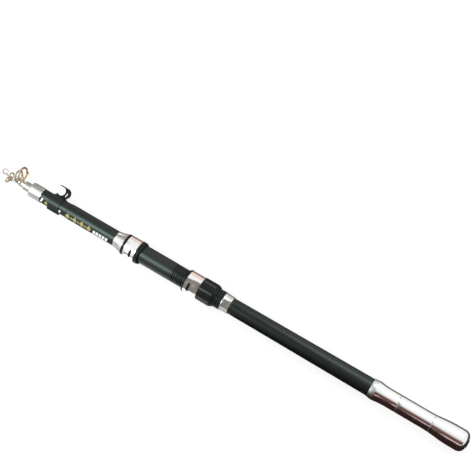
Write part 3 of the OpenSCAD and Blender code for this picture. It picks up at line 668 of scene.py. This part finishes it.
def thread_skin():
    """One turn of the thread, swept as a screw and repeated along the seat, then trimmed at both ends."""
    flank, round_run, round_drop, crest = 0.35, 0.15, 0.12, 1.05
    root = SEAT_R - THREAD_DEPTH
    start = SEAT_REAR - PITCH
    rise = flank + round_run
    fall = rise + crest
    ridge = [
        (0, root), (flank, SEAT_R - round_drop), (rise, SEAT_R),
        (fall, SEAT_R), (fall + round_run, SEAT_R - round_drop), (fall + rise, root), (PITCH, root),
    ]
    bm = bmesh.new()
    verts = [bm.verts.new(((start + x) * MM, 0, r * MM)) for x, r in ridge]
    edges = [bm.edges.new(pair) for pair in zip(verts, verts[1:])]
    bmesh.ops.spin(
        bm, geom=verts + edges, cent=(0, 0, 0), axis=(1, 0, 0), dvec=(PITCH / THREAD_STEPS * MM, 0, 0),
        angle=FULL_TURN, steps=THREAD_STEPS)
    first_turn = bm.verts[:] + bm.edges[:] + bm.faces[:]
    for k in range(1, int((THREAD_FRONT - start) / PITCH) + 2):
        turn = bmesh.ops.duplicate(bm, geom=first_turn)["geom"]
        moved = [v for v in turn if isinstance(v, bmesh.types.BMVert)]
        bmesh.ops.translate(bm, verts=moved, vec=(k * PITCH * MM, 0, 0))
    bmesh.ops.remove_doubles(bm, verts=bm.verts, dist=WELD)
    for station, side in ((SEAT_REAR, -1), (THREAD_FRONT, 1)):
        bmesh.ops.bisect_plane(
            bm, geom=bm.verts[:] + bm.edges[:] + bm.faces[:], dist=HAIR,
            plane_co=(station * MM, 0, 0), plane_no=(side, 0, 0), clear_outer=True)
    return bm


def cut_keyway(bm):
    """Opens the keyway along the thread, with its walls and floor."""
    out = roll_side(KEYWAY_ROLL)
    across = Vector((1, 0, 0)).cross(out)
    half = KEYWAY_HALF * MM
    floor = KEYWAY_FLOOR * MM

    def on_wall(v):
        return v.co.dot(out) > 0 and abs(abs(v.co.dot(across)) - half) < ON_WALL

    for side in (-1, 1):
        facing = [f for f in bm.faces if f.calc_center_median().dot(out) > 0]
        rims = {e for f in facing for e in f.edges}
        ends = {v for f in facing for v in f.verts}
        bmesh.ops.bisect_plane(
            bm, geom=list(ends) + list(rims) + facing, dist=HAIR,
            plane_co=across * side * half, plane_no=across)
    middles = [(f, f.calc_center_median()) for f in bm.faces]
    gone = [f for f, at in middles if at.dot(out) > 0 and abs(at.dot(across)) < half]
    bmesh.ops.delete(bm, geom=gone, context="FACES")
    cut = [e for e in bm.edges if e.is_boundary and all(on_wall(v) for v in e.verts)]
    walls = bmesh.ops.extrude_edge_only(bm, edges=cut)["geom"]
    for v in (v for v in walls if isinstance(v, bmesh.types.BMVert)):
        v.co += out * (floor - v.co.dot(out))
    floor_corners = [
        bm.verts.new(Vector((x * MM, 0, 0)) + across * side * half + out * floor)
        for x, side in ((SEAT_REAR, -1), (THREAD_FRONT, -1), (THREAD_FRONT, 1), (SEAT_REAR, 1))
    ]
    bmesh.ops.contextual_create(bm, geom=floor_corners)


def seat_tube():
    """The plain front of the seat tube, a rear face under the keyway, and the thread, with painted shade in
    its grooves.
    """
    chamfer, shoulder_foot, front_foot, rear_foot, rear_top = 0.4, 9.4, 8.72, 9.3, 9.9
    thread = thread_skin()
    cut_keyway(thread)
    mesh = bpy.data.meshes.new("thread")
    thread.to_mesh(mesh)
    thread.free()
    bm = bmesh.new()
    turn_into(bm, [
        (THREAD_FRONT, shoulder_foot), (THREAD_FRONT, SEAT_R - chamfer), (THREAD_FRONT + chamfer, SEAT_R),
        (SEAT_FRONT, SEAT_R), (SEAT_FRONT, front_foot),
    ], closed=False)
    turn_into(bm, [(SEAT_REAR, rear_foot), (SEAT_REAR, rear_top)], closed=False)
    bm.from_mesh(mesh)
    bpy.data.meshes.remove(mesh)
    bmesh.ops.recalc_face_normals(bm, faces=bm.faces)
    # Faces deep in the thread's grooves get the painted shade.
    for face in bm.faces:
        middle = face.calc_center_median()
        depth = SEAT_R - math.hypot(middle.y, middle.z) / MM
        face.material_index = int(depth > SHADE_BELOW and middle.x < THREAD_FRONT * MM)
    piece("seat_tube", bm, "reel_seat_tube", THREAD_GROOVE_SHADE)


seat_tube()


# Pressed and moulded pieces: hoods, liners, lock nut and hook keeper

SHEET_EDGE, LINER_EDGE, NUT_EDGE, KEEPER_EDGE = 0.09, 0.2, 0.4, 0.14


def hoods_and_liners():
    for hood in ("fixed_hood", "sliding_hood"):
        piece(hood + "_shell", solid_copy(hood, SHEET_EDGE), hood)
    for liner in ("fixed_hood_liner", "sliding_hood_liner"):
        piece(liner + "_mould", solid_copy(liner, LINER_EDGE), liner)


def turn_of(face):
    """Where a face lies round the rod, in degrees."""
    middle = face.calc_center_median()
    return math.degrees(math.atan2(middle.z, middle.y))


def nut_with_ridge_highlights():
    """The lock nut, its eight ridges painted paler than its flats as a painted highlight."""
    side, ridge_half, lean = 360 / 8, 4, 0.2
    bm = solid_copy("lock_nut", NUT_EDGE)
    round_rod = [face for face in bm.faces if abs(face.normal.x) < lean]
    flat = max(round_rod, key=lambda face: face.calc_area())
    for face in round_rod:
        middle = face.calc_center_median()
        from_ridge = (turn_of(face) - turn_of(flat)) % side - side / 2
        outside = face.normal.y * middle.y + face.normal.z * middle.z > 0
        # Faces on a ridge get the painted highlight.
        if abs(from_ridge) < ridge_half and outside:
            face.material_index = 1
    piece("lock_nut_mould", bm, "lock_nut", RIDGE_HIGHLIGHT)


def clip_and_hook():
    """The hook keeper, its hook duller than the clamp that is rubbed by the hand."""
    clamp_reach = 11.2 * MM
    bm = solid_copy("hook_keeper", KEEPER_EDGE)
    for face in bm.faces:
        middle = face.calc_center_median()
        if math.hypot(middle.y, middle.z) > clamp_reach:
            face.material_index = 1
    piece("hook_keeper_mould", bm, "hook_keeper", HOOK_BLACK)


hoods_and_liners()
nut_with_ridge_highlights()
clip_and_hook()


# Printed ornament on the black tubes

INK = 0.03
INK_GRID = 8


def tube_radius(station):
    """Outside of the front sleeve and of the bare tube in front of it."""
    if station > SLEEVE_FRONT:
        return butt_radius(station)
    down_ramp = max(0, station - SLEEVE_FRONT + SLEEVE_RAMP) / SLEEVE_RAMP
    return SLEEVE_R + down_ramp * (SLEEVE_EDGE_R - SLEEVE_R)


def lozenge(u, w):
    """Stands a square on its corner."""
    return (u + w) / 2, (u - w) / 2


def dash(slant):
    """Leans a square over."""
    return lambda u, w: (u + slant * w, w)


def mark(bm, middle, roll, length, height, form):
    """Lays a form on a tube: its length along it is in millimetres, its height round it in degrees."""
    made = bmesh.ops.create_grid(bm, x_segments=INK_GRID, y_segments=INK_GRID, size=1)["verts"]
    for v in made:
        along, around = form(v.co.x, v.co.y)
        x = middle + along * length / 2
        out = roll_side(roll + around * height / 2)
        v.co = Vector((x * MM, 0, 0)) + out * (tube_radius(x) + INK) * MM


def printed(name, marks, finish):
    bm = bmesh.new()
    for row in marks:
        mark(bm, *row)
    bmesh.ops.recalc_face_normals(bm, faces=bm.faces)
    shown = shown_mesh(name, bm, finish)
    shown.data.shade_smooth()
    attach(shown, BODY_OF["butt_section"])


def print_ornament():
    """A row of gold lozenges with white dashes behind it, and three marks round the hook keeper."""
    gold_start, gold_step, gold_roll = 472.4, 9.6, 153
    large = [(gold_start + gold_step * k, gold_roll, 6.6, 48, lozenge) for k in range(4)]
    small = [(gold_start + gold_step * (k + 0.5), gold_roll, 2.8, 24, lozenge) for k in range(3)]
    lone = [(531.2, gold_roll, 4.6, 40, lozenge)]
    printed("gold_lozenges", large + small + lone, GOLD_PRINT)
    white_start, white_step, white_roll = 448.8, 4.1, 162
    dashes = [(white_start + white_step * k, white_roll, 3.1, 36, dash(0.25)) for k in range(5)]
    ticks = [(512.5, 156, 3.4, 34, lozenge), (537.4, 146, 2.4, 36, dash(0.6))]
    printed("white_dashes", dashes + ticks, WHITE_PRINT)


print_ornament()


# Floor, screens and light, in metres

FLOOR_Z = -0.01279
FLOOR_SIZE = 20
FLOOR_GLOW = 0.71
SPREAD_LIGHT = 0.9
SCREEN_TOP = 0.36
SCREEN_FOOT = FLOOR_Z + 0.5 * MM
SCREEN_REAR, SCREEN_FRONT = -0.5, 1.4
SCREEN_NEAR, SCREEN_FAR = 0.33, -0.30
HANDLE_SCREENS_END, TUBE_SCREENS_END = 0.14, 0.30
SCREEN_TONES = {
    "brown": ((0.16, 0.062, 0.056), (0.12, 0.046, 0.042)),
    "dark": ((0.022, 0.011, 0.010), (0.034, 0.015, 0.014)),
    "shade": ((0.20, 0.19, 0.18), (0.16, 0.15, 0.14)),
    "grey": ((0.27, 0.24, 0.21), (0.21, 0.18, 0.16)),
    "dim": ((0.38, 0.37, 0.35), (0.33, 0.33, 0.30)),
    "blush": ((0.98, 0.78, 0.71), (0.90, 0.70, 0.64)),
    "rose": ((0.30, 0.25, 0.25), (0.26, 0.21, 0.21)),
    "strip": ((1.00, 0.84, 0.88), (0.88, 0.73, 0.77)),
    "wan": ((0.66, 0.68, 0.66), (0.60, 0.63, 0.61)),
    "pale": ((0.56, 0.58, 0.54), (0.50, 0.52, 0.49)),
}


def stage_card(name, bm, finish):
    card = shown_mesh(name, bm, finish)
    return card


def seen_directly(tree):
    """One for what the camera sees, straight or in a gloss, and nothing for light that spreads."""
    path = tree.nodes.new("ShaderNodeLightPath")
    seen = math_node(tree, "MAXIMUM", path.outputs["Is Camera Ray"], path.outputs["Is Glossy Ray"])
    return math_node(tree, "MAXIMUM", seen, path.outputs["Is Transmission Ray"])


def floor_finish():
    finish, tree, shader = new_finish("pale_floor")
    shader.inputs["Roughness"].default_value = 0.9
    shader.inputs["Specular IOR Level"].default_value = 0.0
    two_toned(tree, shader.inputs["Base Color"], (0.30, 0.30, 0.30), (0.32, 0.32, 0.32), patches=3.0)
    shader.inputs["Emission Color"].default_value = (1, 1, 1, 1)
    glow = math_node(tree, "MULTIPLY", seen_directly(tree), FLOOR_GLOW)
    tree.links.new(glow, shader.inputs["Emission Strength"])
    return finish


def make_floor():
    bm = bmesh.new()
    bmesh.ops.create_grid(bm, x_segments=1, y_segments=1, size=FLOOR_SIZE)
    bmesh.ops.translate(bm, verts=bm.verts, vec=(0, 0, FLOOR_Z))
    stage_card("floor", bm, floor_finish())


def screen_finish(name, first, second):
    finish, tree, shader = new_finish(name)
    shader.inputs["Base Color"].default_value = (0, 0, 0, 1)
    shader.inputs["Roughness"].default_value = 1.0
    shader.inputs["Specular IOR Level"].default_value = 0.0
    two_toned(tree, shader.inputs["Emission Color"], first, second, patches=4.0)
    shader.inputs["Emission Strength"].default_value = 1.0
    return finish


SCREEN_FINISH = {tone: screen_finish(tone + "_screen", *pair) for tone, pair in SCREEN_TONES.items()}


def screen(name, tone, corners):
    """A flat studio screen that only the gloss of the rod picks up."""
    bm = bmesh.new()
    bmesh.ops.contextual_create(bm, geom=[bm.verts.new(corner) for corner in corners])
    card = stage_card(name, bm, SCREEN_FINISH[tone])
    card.visible_camera = False
    card.visible_diffuse = False
    card.visible_transmission = False
    card.visible_shadow = False


def hang(name, tone, stations, start, end):
    """A screen between two stations, from a line at one (y, z) to a line at another."""
    rear, front = stations
    screen(name, tone, [(rear, *start), (front, *start), (front, *end), (rear, *end)])


def roof(name, tone, corners):
    """A level screen at the top, from its (x, y) corners."""
    screen(name, tone, [(x, y, SCREEN_TOP) for x, y in corners])


def hang_screens():
    """The bright and dark bands that the polished metal and the lacquer mirror, from butt to tip."""
    top, foot = SCREEN_TOP, SCREEN_FOOT
    near, far = SCREEN_NEAR, SCREEN_FAR
    wall, wall_top = -0.30, 0.05
    by_handle = (SCREEN_REAR, HANDLE_SCREENS_END)
    by_tube = (HANDLE_SCREENS_END, TUBE_SCREENS_END)
    by_seat = (TUBE_SCREENS_END, 0.455)
    by_tip = (0.64, SCREEN_FRONT)
    by_trim = (TUBE_SCREENS_END, 0.345)

    hang("butt_fade", "pale", by_handle, (0.135, top), (0.225, top))
    hang("butt_high", "brown", by_handle, (0.225, top), (near, 0.11))
    hang("butt_low", "dark", by_handle, (near, 0.11), (near, foot))
    hang("butt_foot", "dark", (SCREEN_REAR, 0.288), (near, foot), (0.006, foot))
    roof("tube_top", "shade", [
        (0.14, 0.06), (0.24, 0.02), (0.27, -0.12), (0.30, -0.14), (0.30, near), (0.14, near)])
    hang("tube_side", "shade", by_tube, (near, top), (near, foot))
    roof("seat_top", "grey", [
        (0.30, -0.20), (0.36, -0.16), (0.40, -0.09), (0.455, -0.09), (0.455, 0.30), (0.30, 0.30)])
    hang("seat_side", "grey", by_seat, (0.30, top), (0.30, foot))
    hang("seat_foot", "grey", (0.32, 0.46), (0.30, foot), (0.06, foot))
    hang("seat_back", "blush", (0.28, 0.60), (far, foot), (far, 0.24))
    hang("tip_back", "dim", by_tip, (-0.27, foot), (-0.27, top))
    hang("tip_top", "dim", by_tip, (-0.27, top), (-0.16, top))
    hang("tip_fade", "wan", by_tip, (-0.16, top), (-0.03, top))
    hang("tip_side", "dim", (0.60, 0.69), (0.27, foot), (0.27, 0.075))
    hang("tip_foot", "pale", (0.55, SCREEN_FRONT), (0.27, foot), (0.030, foot))
    hang("tip_edge", "pale", (0.53, SCREEN_FRONT), (0.030, foot), (0.002, foot))
    hang("trim_back", "wan", by_trim, (-0.29, foot), (-0.29, top))
    roof("trim_top", "wan", [(0.30, -0.29), (0.345, -0.29), (0.345, -0.17), (0.30, -0.20)])
    hang("trim_foot", "pale", (0.2885, 0.315), (0.20, foot), (0.004, foot))
    hang("far_foot", "rose", (0.20, SCREEN_FRONT), (far, foot), (-0.014, foot))
    hang("butt_far_foot", "shade", (SCREEN_REAR, 0.20), (far, foot), (-0.014, foot))
    screen("butt_wall", "dark", [
        (wall, far, foot), (wall, near, foot), (wall, near, wall_top), (wall, far, wall_top)])
    hang("butt_end_foot", "dark", (wall, -0.002), (far, foot), (near, foot))
    hang("butt_strip", "strip", (wall, 0.06), (0.24, 0.082), (0.24, 0.126))
    hang("cone_foot", "pale", (0.432, 0.53), (0.27, foot), (0.003, foot))


def set_world():
    """Plain white light from all round, at full strength where it is seen."""
    world = bpy.data.worlds.new("studio")
    world.use_nodes = True
    bpy.context.scene.world = world
    tree = world.node_tree
    back = tree.nodes["Background"]
    back.inputs["Color"].default_value = (1, 1, 1, 1)
    lift = math_node(tree, "MULTIPLY", seen_directly(tree), 1 - SPREAD_LIGHT)
    tree.links.new(math_node(tree, "ADD", lift, SPREAD_LIGHT), back.inputs["Strength"])


def softbox(name, place, aim, width, length, power, colour):
    lamp = bpy.data.lights.new(name, "AREA")
    lamp.shape = "RECTANGLE"
    lamp.size = width
    lamp.size_y = length
    lamp.energy = power
    lamp.color = colour
    box = bpy.data.objects.new(name, lamp)
    box.location = place
    box.rotation_euler = (Vector(aim) - Vector(place)).to_track_quat("-Z", "Y").to_euler()
    bpy.context.scene.collection.objects.link(box)


make_floor()
hang_screens()
set_world()
softbox(
    "butt_light", place=(0.14, -0.34, 0.64), aim=(0.14, 0, 0), width=0.36, length=0.34,
    power=1.05, colour=(0.90, 1.0, 0.98))
softbox(
    "tip_light", place=(0.77, 0.48, 0.62), aim=(0.77, 0, 0), width=0.48, length=0.46,
    power=5.2, colour=(0.88, 1.0, 0.96))
bpy.context.scene.view_settings.view_transform = "Standard"
